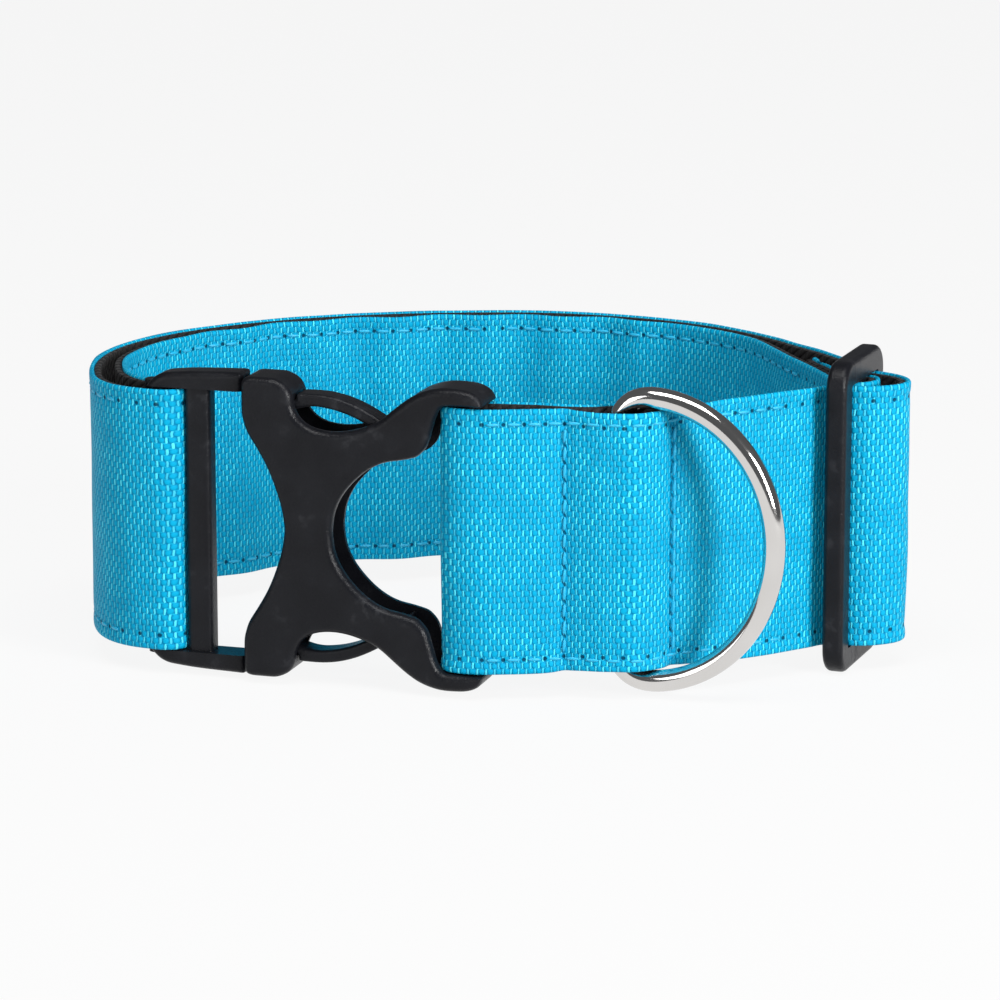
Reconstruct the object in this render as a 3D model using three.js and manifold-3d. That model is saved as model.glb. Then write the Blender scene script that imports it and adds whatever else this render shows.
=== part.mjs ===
// An adjustable flat collar with a contoured side release buckle, a D-ring and a tri-glide slider.
// Millimetres, +Z up. The collar stands on edge as a closed loop: the buckle is at the front (-Y),
// the slider is at the right (+X), and the strap's width is vertical.
import * as THREE from "three";
import { mergeVertices } from "three/addons/utils/BufferGeometryUtils.js";
import Module from "manifold-3d";

// ---- driving dimensions ----
const STRAP_WIDTH = 50;
const WEBBING = 1.4; // thickness of the black webbing
const COVER = 0.5; // thickness of the cloth sewn over it
const GAP = 0.3; // clearance between pieces that touch
const STRAP_PLAY = 0.3; // between the strap's edges and the plastic or wire beside them
const BUCKLE_RAIL = 3.2; // plastic beyond that play, above and below
const MALE_RAIL = 3.8;
const SLIDER_RAIL = 4.6;
const LOOP_DEPTH = 98.3; // front of the strap to the back of the loop
const SHOULDER = 46; // how far back the two ends of the loop are at their widest

const BUCKLE_TURN = -17; // degrees: the buckle follows the curve of the loop
const BUCKLE_AT = [0, 3]; // plan place of the female half's strap end, at mid thickness
const BUCKLE_HALF = 5; // half of the female half's thickness
const PLATE = 2; // thickness of its front and rear plates
const PLATE_BEVEL = 0.6;
const FEMALE_LENGTH = 48.9;
const FEMALE_BAR = { at: -6.8, width: 3.6, thickness: 3.2 };
const HOUSING_END = -39; // inner end of the two corner housings
const HOUSING_WALL = 3.9; // outer wall of a corner housing, over the prong
const PRONG_THICKNESS = 5.2;
const PRONG_DEPTH = 2.4; // height of the sprung arm
const PRONG_TIP = -17;
const SHOULDER_STEP = 1.3; // height of the catch behind the corner housing
const MALE_LENGTH = 69.5; // from the female half's strap end to the male half's
const MALE_BAR = { at: -66.55, width: 5.5, thickness: 3.4 };
const CROSSBAR = { at: -58, width: 4, thickness: 4.4 };
const RAIL_HALF = 3; // half of the male frame's thickness

const RING_WIRE = 4.1;
const RING_PLAY = 0.3;
const RING_AT = [21.5, 4.6]; // plan place of the ring's straight side, inside the strap pocket
const RING_TURN = -18; // degrees: the ring leans out from the strap
const RING_REACH = 30.1; // straight side to the middle of the bow, wire centre to wire centre
const RING_CORNER = 6;

const SLIDER_AT = [66.9, 29.2];
const SLIDER_TURN = 70; // degrees from +X
const SLIDER_BAR = { at: 0, width: 4.5, thickness: 4 };
const SLIDER_SLOT = 6.75;
const SLIDER_CORNER = 5;

const STITCH_INSET = 2.8; // edge rows, from the strap's edge
const THREAD = 0.5;
const THREAD_WIDTH = 0.8;

// ---- values that follow ----
const STRAP_HALF = STRAP_WIDTH / 2;
const OPEN_HALF = STRAP_HALF + STRAP_PLAY; // half height of every slot the strap goes through
const BUCKLE_TOP = OPEN_HALF + BUCKLE_RAIL; // above the middle, as is every "rise" below
const SLIDER_TOP = OPEN_HALF + SLIDER_RAIL;
const MIDDLE = SLIDER_TOP; // the slider is the tallest piece and stands on the ground
const BACK_FACE = WEBBING / 2; // from the webbing's centre to its bare face
const COVER_FACE = WEBBING / 2 + GAP + COVER; // and to the outside of the cover
const WRAP = 1.4 * GAP + BACK_FACE; // from a bar to the centre of the webbing wrapped on it
const DOUBLED = 2 * BACK_FACE + GAP; // centre to centre of two strap layers, back to back

// ---- colours ----
const finish = (color, roughness, metalness = 0) =>
  new THREE.MeshStandardMaterial({ color, roughness, metalness });
const finishes = {
  cloth: () => finish(0x0aa0cf, 0.75),
  webbing: () => finish(0x17161a, 0.9),
  plastic: () => finish(0x1d1d21, 0.5),
  steel: () => finish(0xd6d3d0, 0.18, 1),
  thread: () => finish(0x0791c4, 0.7),
};

// ---- solids ----
const wasm = await Module();
wasm.setup();

function toSolid(geometry) {
  const bare = geometry.clone();
  bare.deleteAttribute("normal");
  bare.deleteAttribute("uv");
  const merged = mergeVertices(bare, 1e-4);
  return new wasm.Manifold(
    new wasm.Mesh({
      numProp: 3,
      vertProperties: new Float32Array(merged.attributes.position.array),
      triVerts: new Uint32Array(merged.index.array),
    }),
  );
}

function toGeometry(solid) {
  const mesh = solid.getMesh();
  return new THREE.BufferGeometry()
    .setAttribute("position", new THREE.BufferAttribute(mesh.vertProperties, 3))
    .setIndex(new THREE.BufferAttribute(mesh.triVerts, 1))
    .toNonIndexed();
}

// A shape drawn in X and Z, made solid from y0 to y1.
function plate(shape, y0, y1, curveSegments = 5) {
  return new THREE.ExtrudeGeometry(shape, { depth: y1 - y0, bevelEnabled: false, curveSegments })
    .rotateX(Math.PI / 2)
    .translate(0, y1, 0);
}

// The same from -half to half, with its outer edges bevelled.
function bevelledPlate(shape, half, bevel) {
  return new THREE.ExtrudeGeometry(shape, {
    depth: 2 * (half - bevel),
    bevelThickness: bevel,
    bevelSize: bevel,
    bevelOffset: -bevel,
    bevelSegments: 1,
  }).translate(0, 0, bevel - half).rotateX(Math.PI / 2);
}

// A shape drawn in X and Y, made solid from z0 to z1.
function post(shape, z0, z1, curveSegments = 4) {
  return new THREE.ExtrudeGeometry(shape, { depth: z1 - z0, bevelEnabled: false, curveSegments })
    .translate(0, 0, z0);
}

function block(x0, x1, y0, y1, z0, z1) {
  return new THREE.BoxGeometry(x1 - x0, y1 - y0, z1 - z0)
    .translate((x0 + x1) / 2, (y0 + y1) / 2, (z0 + z1) / 2);
}

function roundedRectangle(x0, x1, z0, z1, r) {
  const shape = new THREE.Shape();
  shape.moveTo(x0 + r, z0);
  shape.lineTo(x1 - r, z0);
  shape.absarc(x1 - r, z0 + r, r, -Math.PI / 2, 0);
  shape.lineTo(x1, z1 - r);
  shape.absarc(x1 - r, z1 - r, r, 0, Math.PI / 2);
  shape.lineTo(x0 + r, z1);
  shape.absarc(x0 + r, z1 - r, r, Math.PI / 2, Math.PI);
  shape.lineTo(x0, z0 + r);
  shape.absarc(x0 + r, z0 + r, r, Math.PI, 1.5 * Math.PI);
  return shape;
}

// The bars have round edges, so that the webbing turns easily.
function barShape({ at, width, thickness }) {
  const round = 0.49 * Math.min(width, thickness);
  return roundedRectangle(at - width / 2, at + width / 2, -thickness / 2, thickness / 2, round);
}

const barBetweenRails = (bar) => toSolid(post(barShape(bar), -OPEN_HALF - 1, OPEN_HALF + 1));

function meshOf(name, geometry, kind) {
  const mesh = new THREE.Mesh(geometry, finishes[kind]());
  mesh.name = name;
  return mesh;
}

// An outline given by its upper half, with X and rise, from the left to the right end.
function mirroredOutline(half) {
  const upper = half.map(([x, rise]) => new THREE.Vector2(x, rise));
  const lower = upper.map((p) => new THREE.Vector2(p.x, -p.y)).reverse();
  return new THREE.Shape([...upper, ...lower.filter((p) => Math.abs(p.y) > 0.01)]);
}

// A smooth curve through points, as a list of points.
function smooth(points, perSpan) {
  return new THREE.SplineCurve(points.map(([x, y]) => new THREE.Vector2(x, y)))
    .getPoints(perSpan * (points.length - 1))
    .map((p) => [p.x, p.y]);
}

// ---- the buckle's own frame: X along it towards the strap end, Y into the loop ----
function buckleGroup() {
  const group = new THREE.Group();
  group.position.set(...BUCKLE_AT, MIDDLE);
  group.rotation.z = THREE.MathUtils.degToRad(BUCKLE_TURN);
  return group;
}

// The X-shaped plate, which is the same at the front and at the rear.
function femaleOutline() {
  const top = BUCKLE_TOP;
  const left = -FEMALE_LENGTH;
  const end = HOUSING_END;
  return mirroredOutline([
    ...smooth([[-40.6, 0], [-41.4, 4.6], [-43.7, 11], [-45.9, 15], [-48, 18.4], [left, 21.4]], 2),
    ...smooth([[left, top - 2.4], [left + 0.6, top - 0.8], [left + 2.2, top]], 2),
    ...smooth([[end - 3.6, top], [end - 1, top - 1.6], [end + 0.1, top - 3.2]], 2),
    ...smooth([
      [end + 0.1, top - 4.9], [end + 1.2, top - 7], [end + 3.2, top - 8.6], [-32.4, top - 9.4],
      [-28.6, top - 9.2], [-25, top - 8.2], [-22.4, top - 7], [-19.4, top - 4.6], [-17, top - 2.7],
      [-14.4, top - 1.1], [-10.8, top], [-7.6, top], [-5.4, top - 0.7], [-3.4, top - 1.8],
      [-2.4, OPEN_HALF],
    ], 1),
    ...smooth([[-10, OPEN_HALF], [-11.2, 23.2], [-12, 20.4], [-13, 17.2]], 1),
    ...smooth([
      [-14.8, 15.3], [-17.6, 14.6], [-21.4, 13.8], [-24.6, 12.1], [-27.4, 9.6], [-29.6, 6.8],
      [-31, 3.6], [-31.5, 0],
    ], 1),
  ]);
}

function femaleBuckle() {
  const inner = BUCKLE_HALF - PLATE;
  const whole = toSolid(bevelledPlate(femaleOutline(), BUCKLE_HALF, PLATE_BEVEL));
  // Between the plates only the housing walls, the waist and the two strap-end lobes stay solid.
  const wall = BUCKLE_TOP - HOUSING_WALL;
  const hollows = [
    block(-60, HOUSING_END, -inner, inner, -wall, wall),
    block(HOUSING_END - 0.01, PRONG_TIP + 1.6, -inner, inner, -40, 40),
    block(PRONG_TIP + 1.5, 9, -inner, inner, -OPEN_HALF, OPEN_HALF),
  ];
  const waist = block(-38, -33.5, -inner - 0.2, inner + 0.2, -8, 8);
  const carved = hollows.reduce((left, hollow) => left.subtract(toSolid(hollow)), whole);
  const solid = carved.add(toSolid(waist)).add(barBetweenRails(FEMALE_BAR));
  return meshOf("female_buckle", toGeometry(solid), "plastic");
}

function maleFrame() {
  const left = -MALE_LENGTH;
  const seam = -FEMALE_LENGTH - GAP;
  const top = OPEN_HALF + MALE_RAIL;
  const outline = mirroredOutline([
    ...smooth([[left, top - 8], [left + 0.8, top - 4.2], [left + 2.8, top - 1.9]], 2),
    ...smooth([[left + 4.6, top - 1.1], [-59.6, top - 0.5], [seam, top]], 1),
  ]);
  const window = roundedRectangle(left - 5, seam + 5, -OPEN_HALF, OPEN_HALF, 2.5);
  const solid = toSolid(bevelledPlate(outline, RAIL_HALF, PLATE_BEVEL))
    .subtract(toSolid(plate(window, -9, 9)))
    .add(barBetweenRails(MALE_BAR))
    .add(barBetweenRails(CROSSBAR));
  return meshOf("male_frame", toGeometry(solid), "plastic");
}

// One sprung arm, from its root at the end of the rail to its tip, bowed out past the housing.
function prong(name, side) {
  const root = -FEMALE_LENGTH;
  const channel = BUCKLE_TOP - HOUSING_WALL - GAP;
  const crest = channel + SHOULDER_STEP;
  const catchAt = HOUSING_END + GAP;
  const shape = new THREE.Shape([
    [root, channel - PRONG_DEPTH - 1],
    [root, channel],
    [catchAt, channel],
    ...smooth([[catchAt, crest], [-34, crest], [-30.6, crest - 0.5], [-27.4, crest - 1.5],
      [-24.4, crest - 2.9], [-20.8, crest - 5], [PRONG_TIP, crest - 7.6]], 1),
    ...smooth([[PRONG_TIP, crest - 10.4], [-21.4, crest - 7.6], [-25.4, crest - 5], [-28.6, crest - 3.6],
      [-32, crest - 2.7], [-36, crest - 2.4], [-41, channel - PRONG_DEPTH]], 1),
  ].map(([x, rise]) => new THREE.Vector2(x, rise)));
  const geometry = plate(shape, -PRONG_THICKNESS / 2, PRONG_THICKNESS / 2);
  if (side < 0) geometry.rotateX(Math.PI);
  return meshOf(name, geometry, "plastic");
}

// ---- the D-ring: bent wire, butted at the middle of its straight side ----
function dRing() {
  const up = STRAP_HALF + RING_PLAY + RING_WIRE / 2; // middle height to the wire's centre
  const bow = RING_REACH - RING_CORNER;
  const points = [[0, 0.15], [0, up * 0.4], [0, up - RING_CORNER]];
  for (const a of [30, 60]) {
    const t = THREE.MathUtils.degToRad(a);
    points.push([RING_CORNER * (1 - Math.cos(t)), up - RING_CORNER * (1 - Math.sin(t))]);
  }
  for (let a = 90; a >= 0; a -= 15) {
    const t = THREE.MathUtils.degToRad(a);
    points.push([RING_CORNER + bow * Math.cos(t), up * Math.sin(t)]);
  }
  const upper = points.map(([d, rise]) => new THREE.Vector3(d, 0, rise));
  const lower = points.slice(0, -1).map(([d, rise]) => new THREE.Vector3(d, 0, -rise)).reverse();
  const path = new THREE.CatmullRomCurve3([...upper, ...lower], false, "centripetal");
  const section = new THREE.Shape();
  section.absarc(0, 0, RING_WIRE / 2, 0, 2 * Math.PI);
  const geometry = new THREE.ExtrudeGeometry(section, {
    steps: 46,
    curveSegments: 5,
    extrudePath: path,
  });
  const mesh = meshOf("d_ring", geometry, "steel");
  mesh.position.set(...RING_AT, MIDDLE);
  mesh.rotation.z = THREE.MathUtils.degToRad(RING_TURN);
  return mesh;
}

// ---- the slider: two slots round a middle bar ----
function triGlide() {
  const half = 1.5 * SLIDER_BAR.width + SLIDER_SLOT;
  const inner = SLIDER_BAR.width / 2 + SLIDER_SLOT;
  const frame = roundedRectangle(-half, half, -SLIDER_TOP, SLIDER_TOP, SLIDER_CORNER);
  const solid = toSolid(bevelledPlate(frame, SLIDER_BAR.thickness / 2, PLATE_BEVEL))
    .subtract(toSolid(block(-inner, inner, -9, 9, -OPEN_HALF, OPEN_HALF)))
    .add(barBetweenRails(SLIDER_BAR));
  const mesh = meshOf("tri_glide", toGeometry(solid), "plastic");
  mesh.position.set(...SLIDER_AT, MIDDLE);
  mesh.rotation.z = THREE.MathUtils.degToRad(SLIDER_TURN);
  return mesh;
}

// ---- the strap: one run of webbing and cover, drawn in plan along the webbing's centre ----
// It is followed from the end sewn behind the D-ring pocket, so the cover is always on its right.
const turned = ([x, y], degrees, [ox, oy]) => {
  const t = THREE.MathUtils.degToRad(degrees);
  return [ox + x * Math.cos(t) - y * Math.sin(t), oy + x * Math.sin(t) + y * Math.cos(t)];
};
const inBuckle = (x, y) => turned([x, y], BUCKLE_TURN, BUCKLE_AT);
// Along the slider from its near end, and outwards from it.
const inSlider = (along, out) => turned([along, -out], SLIDER_TURN, SLIDER_AT);
const onBack = (x, share) => [x, SHOULDER + (LOOP_DEPTH - SHOULDER) * share];

// Half a turn round the end of a bar, from angle a to angle b in degrees, in a piece's own frame.
function turnRound(place, cx, cy, radius, a, b) {
  const steps = Math.round(Math.abs(b - a) / 45);
  return Array.from({ length: steps + 1 }, (_, i) => {
    const t = THREE.MathUtils.degToRad(a + ((b - a) * i) / steps);
    return place(cx + radius * Math.cos(t), cy + radius * Math.sin(t));
  });
}

const frontBarTurn = FEMALE_BAR.thickness / 2 + WRAP;
const maleBarTurn = MALE_BAR.thickness / 2 + WRAP;
const sliderTurn = SLIDER_BAR.thickness / 2 + WRAP;
const pocket = RING_WIRE / 2 + WRAP;
const loopFace = SLIDER_BAR.width / 2 + GAP + BACK_FACE + COVER_FACE; // cover of the loop on the middle bar
const slotSide = SLIDER_BAR.width / 2 + SLIDER_SLOT;
const crossing = (loopFace + BACK_FACE + slotSide - COVER_FACE) / 2; // the run's centre in a slot

const outerBack = [
  [62.6, 0.145], [57.6, 0.3], [53.2, 0.44], [46.6, 0.6], [38.8, 0.735], [29.6, 0.84],
  [19.8, 0.915], [10, 0.96], [0, 0.972], [-10, 0.965], [-20, 0.943], [-30, 0.903],
  [-40, 0.84], [-50, 0.745], [-58.7, 0.633],
].map(([x, share]) => onBack(x, share));

// The inner layer lies against the outer one from the left shoulder to near the slider.
function against(points, step) {
  return points.map(([x, y], i) => {
    const [ax, ay] = points[Math.max(i - 1, 0)];
    const [bx, by] = points[Math.min(i + 1, points.length - 1)];
    const length = Math.hypot(bx - ax, by - ay);
    return [x - (step * (by - ay)) / length, y + (step * (bx - ax)) / length];
  });
}

const strap = [];
const marks = {};
const mark = (name) => {
  marks[name] = strap.length - 1;
};
const seamBuckle = [11.8, 2.8];
const seamRing = [31.4, 5.1];
const [ringX, ringY] = RING_AT;
strap.push(
  [36.6, 10.2], [31, seamRing[1] + DOUBLED + 0.5], [26.4, ringY + pocket - 0.5],
  [ringX, ringY + pocket], [17, seamBuckle[1] + DOUBLED + 1.3],
  [seamBuckle[0], seamBuckle[1] + DOUBLED + 0.1], [6, 5.6], inBuckle(-3.4, 2.9),
  ...turnRound(inBuckle, FEMALE_BAR.at - 0.2, 0, frontBarTurn, 90, 270),
  inBuckle(-3.4, -2.8), [2, 1.6], [7, 2.1], seamBuckle,
);
mark("seam_buckle");
strap.push([16.6, 2.1], [ringX - 1.2, ringY - pocket + 0.1], [ringX + 2.8, ringY - pocket - 0.7]);
strap.push([27.6, 2.3], seamRing);
mark("seam_ring");
strap.push([39, 9], [46, 13.6], [53, 18.1]);
mark("front_end");
strap.push(
  inSlider(-slotSide - 2, -6.1), inSlider(-slotSide + 1.1, -3.9), inSlider(-crossing, 0),
  inSlider(-6.1, 3.1),
  inSlider(-4.5, 6.1), inSlider(-1.7, 8.5), inSlider(1.5, 8.8), inSlider(4.2, 6.9),
  inSlider(5.9, 4), inSlider(crossing + 0.1, 1.2), inSlider(crossing + 0.1, -2),
  inSlider(slotSide - 0.6, -4.5), inSlider(slotSide + 2.5, -5), inSlider(slotSide + 6.9, -7),
);
mark("bend_end");
strap.push(...outerBack);
mark("outer_end");
strap.push(
  onBack(-64.6, 0.53), onBack(-71, 0.37), onBack(-74.6, 0.22), [-76.4, 49.5], [-76.8, 43.6],
  [-76.4, 37.3], [-75.2, 30.5], [-72.8, 25.7], [-69.2, 22.1],
  inBuckle(MALE_BAR.at, -maleBarTurn),
);
mark("male_bar");
strap.push(
  ...turnRound(inBuckle, MALE_BAR.at + 1.05, 0, maleBarTurn, -90, 90),
  inBuckle(MALE_BAR.at - 1, maleBarTurn), [-68.4, 29.3], [-71.4, 34.6], [-72.9, 42],
  [-73.1, 49.5], onBack(-71.3, 0.21), onBack(-67.6, 0.36), onBack(-62.4, 0.5),
);
const innerBack = against(outerBack, DOUBLED).reverse().slice(1, -3);
strap.push(onBack(-56.6, 0.61));
mark("left_end");
strap.push(...innerBack);
strap.push([50.4, 69.6], [53.9, 60.3]);
mark("inner_end");
strap.push(
  [56.6, 51.5], inSlider(11.5, -12.4), inSlider(5.5, -7.6), inSlider(1, -4.4),
  ...turnRound(inSlider, -0.25, 0, sliderTurn, -120, -270),
  inSlider(0.6, sliderTurn), inSlider(2.4, 2.4), inSlider(3.25, 0.4), inSlider(3.4, -1.7),
  inSlider(4.4, -4), inSlider(6.7, -6.5), inSlider(9.6, -8.9), inSlider(12.6, -11.3),
);
mark("loop_seam");
strap.push(inSlider(15.5, -13.6));

const strapCurve = new THREE.CatmullRomCurve3(
  strap.map(([x, y]) => new THREE.Vector3(x, y, 0)), false, "centripetal",
);

// Points along the strap between two control points, a little short of both ends.
function alongStrap(from, to, perSpan) {
  const last = strap.length - 1;
  const at = (t) => strapCurve.getPoint(t / last);
  const spare = (i, j) => (0.5 * GAP) / at(i).distanceTo(at(j));
  const start = from + spare(from, from + 1);
  const end = to - spare(to, to - 1);
  const count = Math.max(1, Math.round((to - from) * perSpan));
  return Array.from({ length: count + 1 }, (_, i) => at(start + ((end - start) * i) / count));
}

// A flat layer that follows the strap, between two distances from its centre, right being positive.
function ribbon(points, near, far, z0, z1) {
  const edge = (distance) => points.map((p, i) => {
    const a = points[Math.max(i - 1, 0)];
    const b = points[Math.min(i + 1, points.length - 1)];
    const along = b.clone().sub(a).normalize();
    return new THREE.Vector2(p.x + along.y * distance, p.y - along.x * distance);
  });
  return post(new THREE.Shape([...edge(far), ...edge(near).reverse()]), z0, z1);
}

const stretches = {
  front: [0, marks.front_end],
  slider_bend: [marks.front_end, marks.bend_end],
  back_outer: [marks.bend_end, marks.outer_end],
  left_turn: [marks.outer_end, marks.left_end],
  back_inner: [marks.left_end, marks.inner_end],
  slider_loop: [marks.inner_end, strap.length - 1],
};

function strapPieces() {
  const top = MIDDLE + STRAP_HALF;
  const bottom = MIDDLE - STRAP_HALF;
  return Object.entries(stretches).flatMap(([name, [from, to]]) => {
    const points = alongStrap(from, to, name.startsWith("back") ? 2 : 3);
    const webbing = ribbon(points, -BACK_FACE, BACK_FACE, bottom, top);
    const cover = ribbon(points, BACK_FACE + GAP, COVER_FACE, bottom, top);
    return [meshOf("webbing_" + name, webbing, "webbing"), meshOf("cover_" + name, cover, "cloth")];
  });
}

// ---- the thread: edge rows along the strap's open stretches, and three rows across it ----
const stitchedEdges = {
  pocket: [0, 6],
  front: [marks.seam_buckle - 2, marks.front_end],
  slider_bend: [marks.front_end + 4, marks.bend_end - 5],
  back_outer: stretches.back_outer,
  left_outer: [marks.outer_end, marks.male_bar - 1],
  left_inner: [marks.male_bar + 7, marks.left_end],
  back_inner: stretches.back_inner,
  slider_loop: [marks.inner_end, marks.inner_end + 2.5],
};
const crossSeams = { buckle: marks.seam_buckle, ring: marks.seam_ring, slider: marks.loop_seam };

function stitchPieces() {
  const near = COVER_FACE + GAP;
  const inset = STRAP_HALF - STITCH_INSET;
  const row = (points, z0, z1) => ribbon(points, near, near + THREAD, z0, z1);
  const edges = Object.entries(stitchedEdges).flatMap(([name, [from, to]]) => {
    const points = alongStrap(from, to, 2);
    return [["upper", inset], ["lower", -inset]].map(([side, z]) => {
      const low = MIDDLE + z - THREAD_WIDTH / 2;
      return meshOf("stitch_" + side + "_" + name, row(points, low, low + THREAD_WIDTH), "thread");
    });
  });
  const last = strap.length - 1;
  const across = Object.entries(crossSeams).map(([name, at]) => {
    const half = THREAD_WIDTH / 2 / strapCurve.getPoint(at / last)
      .distanceTo(strapCurve.getPoint((at - 1) / last));
    const points = [at - half, at, at + half].map((t) => strapCurve.getPoint(t / last));
    const reach = inset - 2 * THREAD_WIDTH;
    return meshOf("seam_" + name, row(points, MIDDLE - reach, MIDDLE + reach), "thread");
  });
  return [...edges, ...across];
}

// ---- the collar ----
const buckle = buckleGroup();
buckle.add(femaleBuckle(), maleFrame(), prong("prong_upper", 1), prong("prong_lower", -1));
const assembly = new THREE.Group();
assembly.add(buckle, dRing(), triGlide(), ...strapPieces(), ...stitchPieces());

// The origin is under the middle of the whole collar.
const box = new THREE.Box3().setFromObject(assembly, true);
assembly.position.set(-(box.min.x + box.max.x) / 2, -(box.min.y + box.max.y) / 2, -box.min.z);

export default assembly;
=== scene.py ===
import math

import bmesh
import bpy
import numpy as np
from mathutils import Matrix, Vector, noise


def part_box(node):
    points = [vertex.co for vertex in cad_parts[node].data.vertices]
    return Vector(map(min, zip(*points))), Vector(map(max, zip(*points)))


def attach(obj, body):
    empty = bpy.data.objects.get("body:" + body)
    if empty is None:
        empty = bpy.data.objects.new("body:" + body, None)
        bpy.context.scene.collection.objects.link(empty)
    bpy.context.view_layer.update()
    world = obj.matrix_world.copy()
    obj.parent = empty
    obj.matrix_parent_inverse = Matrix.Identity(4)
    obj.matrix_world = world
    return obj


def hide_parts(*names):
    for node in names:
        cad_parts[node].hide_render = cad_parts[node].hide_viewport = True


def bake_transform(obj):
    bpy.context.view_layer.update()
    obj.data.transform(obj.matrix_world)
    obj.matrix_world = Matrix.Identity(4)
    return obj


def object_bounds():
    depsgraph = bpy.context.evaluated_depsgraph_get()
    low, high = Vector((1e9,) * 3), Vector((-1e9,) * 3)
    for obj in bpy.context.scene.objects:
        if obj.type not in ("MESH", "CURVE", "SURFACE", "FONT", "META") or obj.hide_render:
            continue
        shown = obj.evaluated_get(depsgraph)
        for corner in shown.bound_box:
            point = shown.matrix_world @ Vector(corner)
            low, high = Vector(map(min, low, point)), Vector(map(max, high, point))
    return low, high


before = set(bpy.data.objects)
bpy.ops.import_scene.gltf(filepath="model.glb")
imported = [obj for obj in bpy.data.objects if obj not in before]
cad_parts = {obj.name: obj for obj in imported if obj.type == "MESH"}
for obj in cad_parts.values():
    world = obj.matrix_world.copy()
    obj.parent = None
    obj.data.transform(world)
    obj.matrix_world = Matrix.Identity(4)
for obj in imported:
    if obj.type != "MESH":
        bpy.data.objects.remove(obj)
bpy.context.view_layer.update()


# The strap's run. One length of webbing goes round the whole collar: round the female buckle's bar, over the
# D-ring's pocket, through the slider, round the male buckle's bar and back to the slider's middle bar.
# Plan sizes are in millimetres, and the slider's middle says where the plan lies in the frame.
STRAP_HALF = 25.0
WEB_HALF = 0.7
SHOULDER, LOOP_DEPTH, BACK_GAP = 46.0, 98.3, 1.7
BUCKLE_AT, BUCKLE_TURN = (0.0, 3.0), -17
SLIDER_AT, SLIDER_TURN = (66.9, 29.2), 70
RING_AT, RING_TURN = (21.5, 4.6), -18
glide_low, glide_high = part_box("tri_glide")
glide_middle = (glide_low + glide_high) / 2


def place(x, y, z):
    """A point of the plan, z above the strap's middle line, in the frame."""
    return (
        glide_middle.x + (x - SLIDER_AT[0]) * 1e-3,
        glide_middle.y + (y - SLIDER_AT[1]) * 1e-3,
        glide_middle.z + z * 1e-3,
    )


def turned(x, y, degrees, about):
    """A step turned by so many degrees, taken from a point."""
    t = math.radians(degrees)
    return (
        about[0] + x * math.cos(t) - y * math.sin(t),
        about[1] + x * math.sin(t) + y * math.cos(t),
    )


def in_buckle(x, y):
    """A plan point given along and behind the buckle."""
    return turned(x, y, BUCKLE_TURN, BUCKLE_AT)


def in_slider(along, out):
    """A plan point given across the slider's bars and outwards from them."""
    return turned(along, -out, SLIDER_TURN, SLIDER_AT)


def on_back(x, share):
    """A point of the back, at a share of the way from the loop's shoulders to its deepest place."""
    return (x, SHOULDER + (LOOP_DEPTH - SHOULDER) * share)


def round_bar(where, cx, cy, radius, first, last):
    """Webbing that turns round the end of a bar, from one angle to another."""
    steps = round(abs(last - first) / 45)
    angles = [math.radians(first + (last - first) * i / steps) for i in range(steps + 1)]
    return [where(cx + radius * math.cos(a), cy + radius * math.sin(a)) for a in angles]


def against(points, step):
    """The line a step to the left of these points."""
    out = []
    for i, (x, y) in enumerate(points):
        ax, ay = points[max(i - 1, 0)]
        bx, by = points[min(i + 1, len(points) - 1)]
        long = math.hypot(bx - ax, by - ay)
        out.append((x - step * (by - ay) / long, y + step * (bx - ax) / long))
    return out


def curve_through(points, per_span=24):
    """A centripetal Catmull-Rom curve, and the number of its first sample at each point."""
    p = [np.array(q, float) for q in points]
    ends = [2 * p[0] - p[1], *p, 2 * p[-1] - p[-2]]
    out = []
    for i in range(len(p) - 1):
        a, b, c, d = ends[i : i + 4]
        d0, d1, d2 = (math.sqrt(np.linalg.norm(v)) for v in (b - a, c - b, d - c))
        d1 = d1 if d1 > 1e-4 else 1.0
        d0, d2 = (v if v > 1e-4 else d1 for v in (d0, d2))
        t1 = ((b - a) / d0 - (c - a) / (d0 + d1) + (c - b) / d1) * d1
        t2 = ((c - b) / d1 - (d - b) / (d1 + d2) + (d - c) / d2) * d1
        for k in range(per_span):
            t = k / per_span
            out.append(b + t1 * t + (3 * (c - b) - 2 * t1 - t2) * t**2 + (2 * (b - c) + t1 + t2) * t**3)
    return np.array([*out, p[-1]])


outer_back = [
    on_back(x, share)
    for x, share in (
        (62.6, 0.145), (57.6, 0.3), (53.2, 0.44), (46.6, 0.6), (38.8, 0.735), (29.6, 0.84), (19.8, 0.915),
        (10, 0.96), (0, 0.972), (-10, 0.965), (-20, 0.943), (-30, 0.903), (-40, 0.84), (-50, 0.745),
        (-58.7, 0.633),
    )
]
inner_back = against(outer_back, BACK_GAP)[::-1][1:-3]
marks = {}
points = [(36.6, 10.2), (31, 7.3), (26.4, 7.27), (21.5, 7.77), (17, 5.8), (11.8, 4.6), (6, 5.6)]
points += [in_buckle(-3.4, 2.9), *round_bar(in_buckle, -7.0, 0, 2.72, 90, 270), in_buckle(-3.4, -2.8)]
points += [(2, 1.6), (7, 2.1), (11.8, 2.8)]
marks["buckle_seam"] = len(points) - 1
points += [(16.6, 2.1), (20.3, 1.53), (24.3, 0.73), (27.6, 2.3), (31.4, 5.1)]
marks["ring_seam"] = len(points) - 1
points += [(39, 9), (46, 13.6), (53, 18.1)]
marks["front_end"] = len(points) - 1
points += [
    in_slider(*p)
    for p in (
        (-11, -6.1), (-7.9, -3.9), (-6.475, 0), (-6.1, 3.1), (-4.5, 6.1), (-1.7, 8.5), (1.5, 8.8), (4.2, 6.9),
        (5.9, 4), (6.575, 1.2), (6.575, -2), (8.4, -4.5), (11.5, -5), (15.9, -7),
    )
]
marks["bend_end"] = len(points) - 1
points += outer_back
marks["outer_middle"] = marks["bend_end"] + 9
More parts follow.
